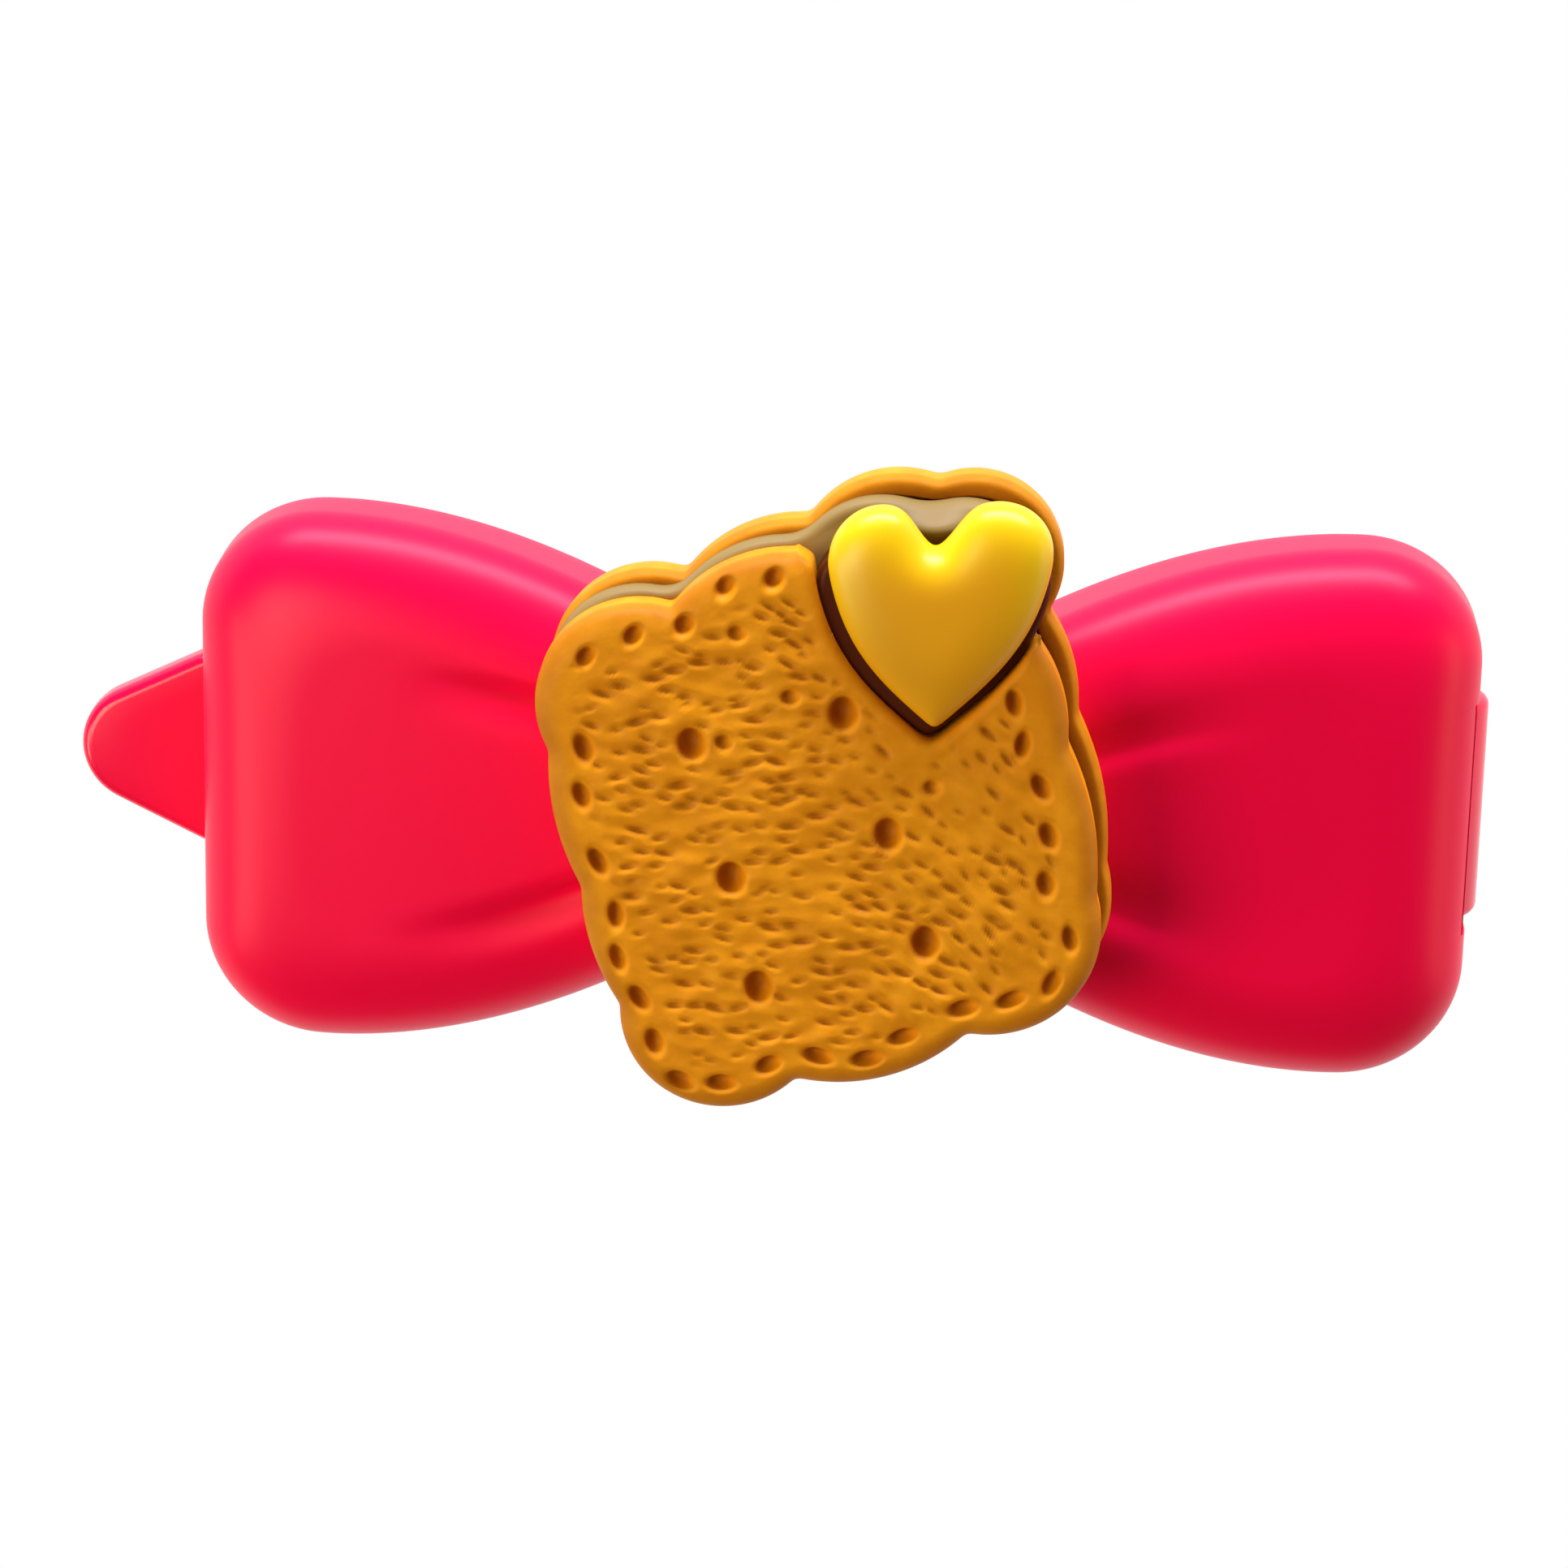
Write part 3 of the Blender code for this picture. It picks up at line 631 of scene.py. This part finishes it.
# each scallop of the crackers' edge, in the smore's own turned frame: its start and its bulge
SCALLOPS = np.array(
    [
        (10.3, -4.2, 0.45),
        (10.7, 2.4, 0.4),
        (10.6, 7.0, 2.6),
        (7.6, 13.3, 0.95),
        (2.1, 13.05, 0.7),
        (-3.4, 12.0, 2.7),
        (-9.8, 7.4, 0.42),
        (-10.05, 1.4, 0.4),
        (-9.85, -4.0, 2.8),
        (-3.6, -8.9, 0.95),
        (3.75, -8.65, 2.25),
    ]
)
# the six round holes, the four small ones and the slots near the edge, in the smore's own frame
ROUND_HOLES = ((-4.0, 6.2), (2.3, 6.0), (2.8, 0.6), (-3.9, 0.3), (3.1, -4.3), (-4.0, -4.5))
SMALL_HOLES = ((0.4, 7.2), (5.0, 2.1), (-2.7, 6.0), (-1.0, 10.3))
EDGE_SLOTS = (
    ((-7.2, 10.8), (-5.1, 11.2), (-3.0, 11.1), (-1.0, 12.2), (1.0, 12.1))
    + ((-8.3, 7.1), (-8.9, 5.2), (-9.0, 2.3), (-8.9, -0.1), (-9.3, -1.9), (-8.9, -3.8))
    + ((-8.8, -5.8), (-8.2, -7.7), (-6.6, -8.2), (-4.5, -7.9), (-2.4, -8.0), (-0.5, -8.6))
    + ((1.2, -8.0), (3.9, -7.4), (5.9, -7.5), (7.7, -7.2), (8.9, -5.5), (8.5, -3.0))
    + ((9.1, -1.0), (9.3, 1.1), (9.0, 3.0), (9.1, 4.8))
)
LEANING_SLOTS = 5  # the first ones, at the upper left, are short and lean to the right
ROUND_DEPTH, SMALL_DEPTH, SLOT_DEPTH = 0.9, 0.4, 0.6


def add_plate(name, slot, node, material, grid, top, bottom, **marks):
    """Adds a layer of the smore, whose grid is its points and triangles.

    Each mark is given as its values over the top and its one value on the wall and the underside.
    """
    points, faces, used = plate(*grid, top, bottom)
    values = {}
    for mark, (over, elsewhere) in marks.items():
        values[mark] = np.full(len(points), elsewhere)
        values[mark][: len(used)] = over[used]
    add_piece(name, points, faces, material, "bow_and_smore", node, values)


def shortened(points, length):
    """Takes this length off the top of an outline, less further down and none at the bottom."""
    low, high = points[:, 1].min(), points[:, 1].max()
    return points - np.c_[0 * points[:, 0], length * (points[:, 1] - low) / (high - low)]


def cracker_outline(shift, shorter=0.0):
    """The scalloped edge: a circular arc over each pair of notches, as high as its bulge."""
    start, bulge = SCALLOPS[:, :2], SCALLOPS[:, 2:]
    chord = np.roll(start, -1, 0) - start
    length = np.linalg.norm(chord, axis=1, keepdims=True)
    radius = (length**2 / 4 + bulge**2) / (2 * bulge)
    outward = np.c_[chord[:, 1], -chord[:, 0]] / length
    centre = start + chord / 2 + outward * (bulge - radius)
    sweep = 2 * np.arcsin(length / 2 / radius) * np.linspace(0, 1, 40, endpoint=False)[None]
    first = (start - centre)[:, None]
    c, s = np.cos(sweep), np.sin(sweep)
    arcs = centre[:, None] + np.stack(
        [first[..., 0] * c - first[..., 1] * s, first[..., 0] * s + first[..., 1] * c], axis=-1
    )
    outline = turned(shortened(arcs.reshape(-1, 2), shorter), SMORE_TURN) + shift
    # it starts shortly before the first scallop, on the corner that a square grid starts at too
    return soften(resample(outline, 900, start=0.965), 0.16)


def heart_outline(at, border=0.0):
    """Round lobes over sides that sweep down to a soft tip, grown by border.

    The sides and the slopes into the notch are cubic curves. The right half is made wider than the
    left one, the tip moves to the right and the whole heart rises to the right.
    """
    lobe, spread, drop, notch = 2.2, 2.3, 7.1, 0.3
    first, last, slope = math.radians(-10), math.radians(102), math.radians(48)
    right_width, left_width, tip_shift, rise = 1.05, 0.95, 0.2, 0.065
    count = 900

    def cubic(start, start_pull, end, end_pull):
        t = np.linspace(0, 1, 60)[:, None]
        near_start = (1 - t) ** 3 * start + 3 * t * (1 - t) ** 2 * (start + start_pull)
        return near_start + 3 * t**2 * (1 - t) * (end + end_pull) + t**3 * end

    turn = np.linspace(first, last, 90)
    right = np.c_[spread + lobe * np.cos(turn), lobe * np.sin(turn)]
    tip, middle = np.array([(0, -drop), (0, notch)])
    tip_pull = 2.8 * np.array([np.sin(slope), np.cos(slope)])
    side_pull = 3.5 * np.array([np.sin(first), -np.cos(first)])
    side = cubic(tip, tip_pull, right[0], side_pull)
    lobe_pull = 0.8 * np.array([-np.sin(last), np.cos(last)])
    dip = cubic(right[-1], lobe_pull, middle, np.array([0.8, 0.6]))
    half = np.vstack([side[:-1], right, dip[1:]])
    whole = resample(np.vstack([half, (half * (-1, 1))[-2:0:-1]]), count)
    grown = whole - inward(whole) * border
    # a border closes the notch: what crosses the middle is left out
    grown = grown[(grown[:, 0] * np.where(np.arange(count) < count / 2, 1, -1)) > -0.01]
    x = grown[:, 0] * np.where(grown[:, 0] > 0, right_width, left_width)
    x += tip_shift * np.maximum(-grown[:, 1], 0) / drop
    uneven = np.stack([x, grown[:, 1] + rise * x], axis=1)
    # it starts on the right side, a sixth of the way round from the tip, for the square grid
    return soften(resample(uneven, 480, start=0.16), 0.26) + at


def pocket_outline():
    """What is missing of the front cracker: the brown heart's seat and the whole corner above it."""
    beyond_x, beyond_y = 14, 20  # outside the cracker
    corner_x, corner_y, join_y = -1.8, 9.5, 13.05  # where the corner meets the seat
    heart = heart_outline(CHOCOLATE_AT, border=0.5)
    heart = np.roll(heart, -heart[:, 1].argmin(), axis=0)
    right = heart[: np.argmax(heart[:, 1] > corner_y)]
    left = heart[heart[:, 0].argmin() :]
    corner = [(beyond_x, corner_y), (beyond_x, beyond_y), (corner_x, beyond_y), (corner_x, join_y)]
    return soften(resample(np.vstack([right, corner, left]), 700), 0.2)


def dips(x, y, places, half_length, half_width, angle, depth, power):
    """A dent at each place: depth * exp(-(q^power)), where q is 1 on the dent's ellipse."""
    total = np.zeros_like(x)
    each = np.broadcast_arrays(np.zeros(len(places)), half_length, half_width, angle, depth)[1:]
    for (px, py), a, b, turn, deep in zip(places, *each):
        near = (abs(x - px) < 3 * a) & (abs(y - py) < 3 * a)
        dx, dy = x[near] - px, y[near] - py
        c, s = math.cos(turn), math.sin(turn)
        q = ((dx * c + dy * s) / a) ** 2 + ((dy * c - dx * s) / b) ** 2
        total[near] = np.maximum(total[near], deep * np.exp(-(q**power)))
    return total


def waves(x, y, count, shortest, longest, stretch=1.0):
    """A sum of plane waves in random directions, spread to about -1..1, drawn out along X."""
    total = np.zeros_like(x)
    for _ in range(count):
        length, way, phase = rng.uniform(shortest, longest), *rng.uniform(0, 2 * np.pi, 2)
        total += np.cos(2 * np.pi * (x / stretch * np.cos(way) + y * np.sin(way)) / length + phase)
    return total * math.sqrt(2 / count)


def crumb_angle(x, y):
    """The way the small pits lie: level across the left, turning down to the right on the right."""
    return math.radians(-16) - math.radians(38) * ease(x + 0.3 * abs(y), 0.0, 8.0)


def face_holes(x, y, edge):
    """The depth of the placed holes and slots at each point, and the share of painted shade beside
    them.

    The holes stand upright on the clip. The slots follow the edge, each turned a little by chance.
    """
    slots, own_edge = np.array(EDGE_SLOTS), turned(edge, -SMORE_TURN)
    closest = np.argmin(((slots[:, None] - own_edge[None]) ** 2).sum(axis=2), axis=1)
    normal = inward(own_edge)[closest]
    lie = np.arctan2(-normal[:, 0], normal[:, 1]) + rng.uniform(-0.25, 0.25, len(slots))
    long, wide = rng.uniform(0.48, 0.6, len(slots)), rng.uniform(0.28, 0.35, len(slots))
    lie[:LEANING_SLOTS], long[:LEANING_SLOTS] = math.radians(38), 0.42
    upright = math.radians(-SMORE_TURN)

    def shares(x, y):
        """How deep each kind is, from 0 on the face to 1 at its bottom."""
        large = dips(x, y, ROUND_HOLES, 0.52, 0.64, upright, depth=1.0, power=2.2)
        small = dips(x, y, SMALL_HOLES, 0.34, 0.3, upright, depth=1.0, power=1.6)
        slot = dips(x, y, slots, long, wide, lie, depth=1.0, power=1.7)
        return large, small, slot

    large, small, slot = shares(x, y)
    holes = np.maximum(np.maximum(ROUND_DEPTH * large, SMALL_DEPTH * small), SLOT_DEPTH * slot)
    # painted shade sits on the upper left side of each hole, where the wall lies in the key light's
    # shadow
    painted_hole_shade = np.maximum.reduce(shares(x + 0.18, y - 0.1)) * np.clip(holes / 0.2, 0, 1)
    return holes, painted_hole_shade


def crumb_pits(x, y):
    """The depth of the small level pits: in staggered rows, but each moved and turned by chance."""
    apart_x, apart_y, moved, clear_by, kept = 1.0, 0.72, 0.3, 0.85, 0.88
    gx, gy = np.meshgrid(np.arange(-10, 10.5, apart_x), np.arange(-9.5, 13.5, apart_y))
    gx = gx + apart_x / 2 * (np.arange(gx.shape[0]) % 2)[:, None]
    spots = np.stack([gx.ravel(), gy.ravel()], axis=1)
    spots += rng.uniform(-moved, moved, spots.shape)
    placed = np.array(ROUND_HOLES + SMALL_HOLES + EDGE_SLOTS)
    clear = np.sqrt(((spots[:, None] - placed[None]) ** 2).sum(axis=2)).min(axis=1) > clear_by
    spots = spots[clear & (rng.random(len(spots)) < kept)]
    lie = crumb_angle(*spots.T) + rng.uniform(-0.3, 0.3, len(spots))
    size = rng.uniform(0.0, 1.0, len(spots)) ** 1.6
    long, wide, depth = 0.26 + 0.19 * size, 0.11 + 0.06 * size, 0.13 + 0.13 * size
    return dips(x, y, spots, long, wide, lie, depth, power=1.3)


def cracker_relief(xy, edge, distance, seat_distance):
    """How far the front face is sunk at each point, and how dark it is painted there: toasted at the
    edge, with painted shade in the holes and pits.
    """
    x, y = turned(xy, -SMORE_TURN).T
    open_face = ease(distance, 1.3, 2.2) * ease(seat_distance, 0.3, 0.9)
    holes, painted_hole_shade = face_holes(x, y, edge)
    pits = crumb_pits(x, y)

    turn = crumb_angle(x, y)
    along = x * np.cos(turn) + y * np.sin(turn)
    across = y * np.cos(turn) - x * np.sin(turn)
    rough = waves(along, across, 60, shortest=0.6, longest=1.4, stretch=1.7)
    swell = waves(x, y, 16, shortest=3.0, longest=6.0)
    sunk = np.maximum(holes, pits * open_face) + (0.022 * rough + 0.03 * swell) * open_face

    toasted = 1 - ease(distance, 0.2, 1.1)  # the edge is toasted darker
    # painted shade: darker down in the pits and beside the holes
    dark = np.maximum(0.55 * painted_hole_shade, 0.5 * open_face * np.clip(pits / 0.24, 0, 1))
    return sunk, np.maximum(dark, 0.42 * toasted)


def make_front_cracker(material):
    """The square grid laid into the scallops, less the missing corner, sunk by its relief."""
    outline, seat = cracker_outline(0, shorter=0.3), pocket_outline()
    xy, triangles, edge = square_grid(outline, (0.3, 0.6), core=9.3, cells=210)
    xy, triangles = cut_away(xy, triangles, seat)
    distance, seat_distance = soft_distance(xy, edge), soft_distance(xy, seat)
    sunk, dark = cracker_relief(xy, edge, distance, seat_distance)
    outer_lip = quarter_roll(distance, width=0.95, depth=0.75)
    seat_lip = quarter_roll(seat_distance, width=0.4, depth=0.3)
    top = FRONT_TOP - np.maximum(outer_lip, seat_lip) - sunk
    bottom = FRONT_LOW + quarter_roll(distance, width=0.3, depth=0.3)
    slot, node, grid = "cracker_plastic", "cracker_front", (xy, triangles)
    add_plate("front_cracker", slot, node, material, grid, top, bottom, pit=(dark, 0.0))


def make_back_cracker(material):
    """A plain plate with a flat raised rim, 0.9 mm wide, and a groove inside the rim."""
    outline = cracker_outline(BACK_SHIFT)
    xy, triangles, edge = square_grid(outline, (0.8, 0.9), core=9.3, cells=130, crowd=0.75)
    distance = soft_distance(xy, edge)
    rim_height, groove_depth, groove_at, groove_width = 0.35, 0.45, 1.15, 0.28
    rim = rim_height * (1 - ease(distance, 0.75, 1.05))
    groove = np.exp(-(((distance - groove_at) / groove_width) ** 2))
    lip = quarter_roll(distance, width=0.28, depth=0.45)
    top = BACK_TOP + rim - groove_depth * groove - lip
    bottom = BACK_LOW + quarter_roll(distance, width=1.0, depth=1.7)
    # painted shade: the colour deepens inwards over the rim, and the groove is the darkest
    shade = np.maximum(0.3 + 0.3 * ease(distance, 0.15, 0.5), 0.8 * groove)
    slot, node, grid = "cracker_plastic", "cracker_back", (xy, triangles)
    add_plate("back_cracker", slot, node, material, grid, top, bottom, pit=(shade, 0.0))


def make_filling(material):
    """The layer between the crackers, with a soft edge, that swells up behind the heart's notch."""
    middle = cracker_outline(FILLING_SHIFT)
    # its edge lies 0.45 inside the crackers' edge, and deeper behind the heart's upper side
    inset = 0.45 + 0.36 * bell(middle, HEART_AT + (0.5, 3.0), 5.0)
    outline = soften(middle + inward(middle) * inset[:, None], 0.3)
    xy, triangles, edge = square_grid(outline, (0.5, 0.8), core=8.8, cells=110)
    distance = soft_distance(xy, edge)
    uneven = 0.03 * waves(*xy.T, 20, shortest=2.0, longest=5.0) * ease(distance, 0.2, 0.8)
    swell = 1.2 * bell(xy, HEART_AT + (0, 1.6), 1.5) * ease(distance, 0.0, 1.0)
    top = FILLING_TOP - quarter_roll(distance, width=0.3, depth=0.25) + uneven + swell
    slot, node, grid = "filling_plastic", "filling", (xy, triangles)
    add_plate("filling_layer", slot, node, material, grid, top, FILLING_LOW)


def make_chocolate_heart(material):
    """The brown heart in the front cracker's seat, seen as a dark border round the lower half."""
    outline = shortened(heart_outline(CHOCOLATE_AT + (-0.17, -0.12), border=0.24), 1.35)
    xy, triangles, edge = square_grid(outline, CHOCOLATE_AT + (0, -1), core=2.4, cells=90)
    top = CHOCOLATE_TOP - quarter_roll(soft_distance(xy, edge), width=0.35, depth=0.3)
    slot, node, grid = "brown_plastic", "brown_heart", (xy, triangles)
    add_plate("chocolate_heart", slot, node, material, grid, top, CHOCOLATE_LOW)


def make_heart(material):
    """The puffed yellow heart: its height grows from the edge along a quarter ellipse."""
    outline = heart_outline(HEART_AT)
    xy, triangles, edge = square_grid(outline, HEART_AT + (0, -1), core=2.2, cells=130)
    distance = soft_distance(xy, edge)
    top = HEART_TOP - quarter_roll(distance, width=2.1, depth=1.3)
    bottom = HEART_LOW + quarter_roll(distance, width=0.2, depth=0.15)
    upper = ease(xy[:, 1] - HEART_AT[1], -5.0, 1.0)  # the painted light fades out towards the tip, which stays golden
    # painted light: paler near the upper edge and on the wall, as if lit more from above and the sides
    thin = upper * (1 - ease(distance, 0.2, 1.9))
    slot, node, grid = "yellow_plastic", "yellow_heart", (xy, triangles)
    add_plate("butter_heart", slot, node, material, grid, top, bottom, thin=(thin, 1.0))


# ------------------------------------------------------------------ floor, light and camera


def make_floor():
    """A light table, evenly white, 0.05 mm under the arm so that the two don't share a plane."""
    material, _, _ = new_material(
        "evenly_lit_white_acrylic",
        Base_Color=colour("#000000"),
        Roughness=0.9,
        Specular_IOR_Level=0.0,
        Emission_Color=colour("#ffffff"),
        Emission_Strength=1.0,
    )
    mesh = bpy.data.meshes.new("floor")
    half, level = 1.5, -0.05 * MM
    corners = [(-half, -half, level), (half, -half, level), (half, half, level), (-half, half, level)]
    mesh.from_pydata(corners, [], [(0, 1, 2, 3)])
    mesh.materials.append(material)
    floor = bpy.data.objects.new("floor", mesh)
    bpy.context.scene.collection.objects.link(floor)


def add_light(name, place, size, watts, code):
    """A soft rectangular lamp that faces the clip; place is in metres, size is its two sides."""
    lamp = bpy.data.lights.new(name, "AREA")
    lamp.shape = "RECTANGLE"
    lamp.size, lamp.size_y = size
    lamp.energy = watts
    lamp.color = colour(code)[:3]
    made = bpy.data.objects.new(name, lamp)
    made.location = place
    made.rotation_euler = Vector(place).to_track_quat("Z", "Y").to_euler()
    bpy.context.scene.collection.objects.link(made)


def add_lights():
    """A warm key from the left, a cool strip beyond the top edge and a low light on each side."""
    add_light("key", (-0.15, 0.0, 0.21), (0.12, 0.12), 0.30, "#ffeecf")
    add_light("left_side", (-0.22, -0.06, 0.12), (0.10, 0.10), 0.16, "#fff2d8")
    add_light("top_strip", (0.02, 0.42, 0.06), (0.60, 0.10), 4.4, "#dee0ff")
    add_light("right_side", (0.34, -0.03, 0.08), (0.20, 0.10), 0.28, "#ffcf9c")
    world = bpy.data.worlds.new("studio")
    bpy.context.scene.world = world
    world.use_nodes = True
    background = world.node_tree.nodes["Background"]
    background.inputs["Color"].default_value = colour("#f0f0f4")
    background.inputs["Strength"].default_value = 0.14


def add_camera():
    """Looks at the clip's face from 220 mm away, a little from the hinge's side and from above."""
    aside, above, roll = (math.radians(angle) for angle in (2.02, 18, 1.55))
    target, distance = Vector((0, 0, 6 * MM)), 220 * MM
    back = Vector((math.tan(aside), math.tan(above), 1)).normalized()
    right = Vector((0, 1, 0)).cross(back).normalized()
    right = Matrix.Rotation(roll, 4, back) @ right
    axes = Matrix((right, back.cross(right), back)).transposed().to_4x4()

    lens = bpy.data.cameras.new("photo_view")
    lens.sensor_width = 36
    lens.lens = 119.87
    picture_width = 1932  # the shifts are given in its pixels
    lens.shift_x, lens.shift_y = -61.5 / picture_width, 24.75 / picture_width
    lens.clip_start, lens.clip_end = 0.01, 10
    camera = bpy.data.objects.new("photo_view", lens)
    camera.matrix_world = Matrix.Translation(target + back * distance) @ axes
    bpy.context.scene.collection.objects.link(camera)
    bpy.context.scene.camera = camera


def main():
    make_bow(bow_plastic())
    make_arm(arm_plastic())
    cracker = cracker_plastic()
    make_back_cracker(cracker)
    make_filling(filling_plastic())
    make_front_cracker(cracker)
    make_chocolate_heart(chocolate_plastic())
    make_heart(heart_plastic())
    make_floor()
    add_lights()
    add_camera()
    bpy.context.scene.view_settings.view_transform = "Standard"
    bpy.context.view_layer.update()


main()
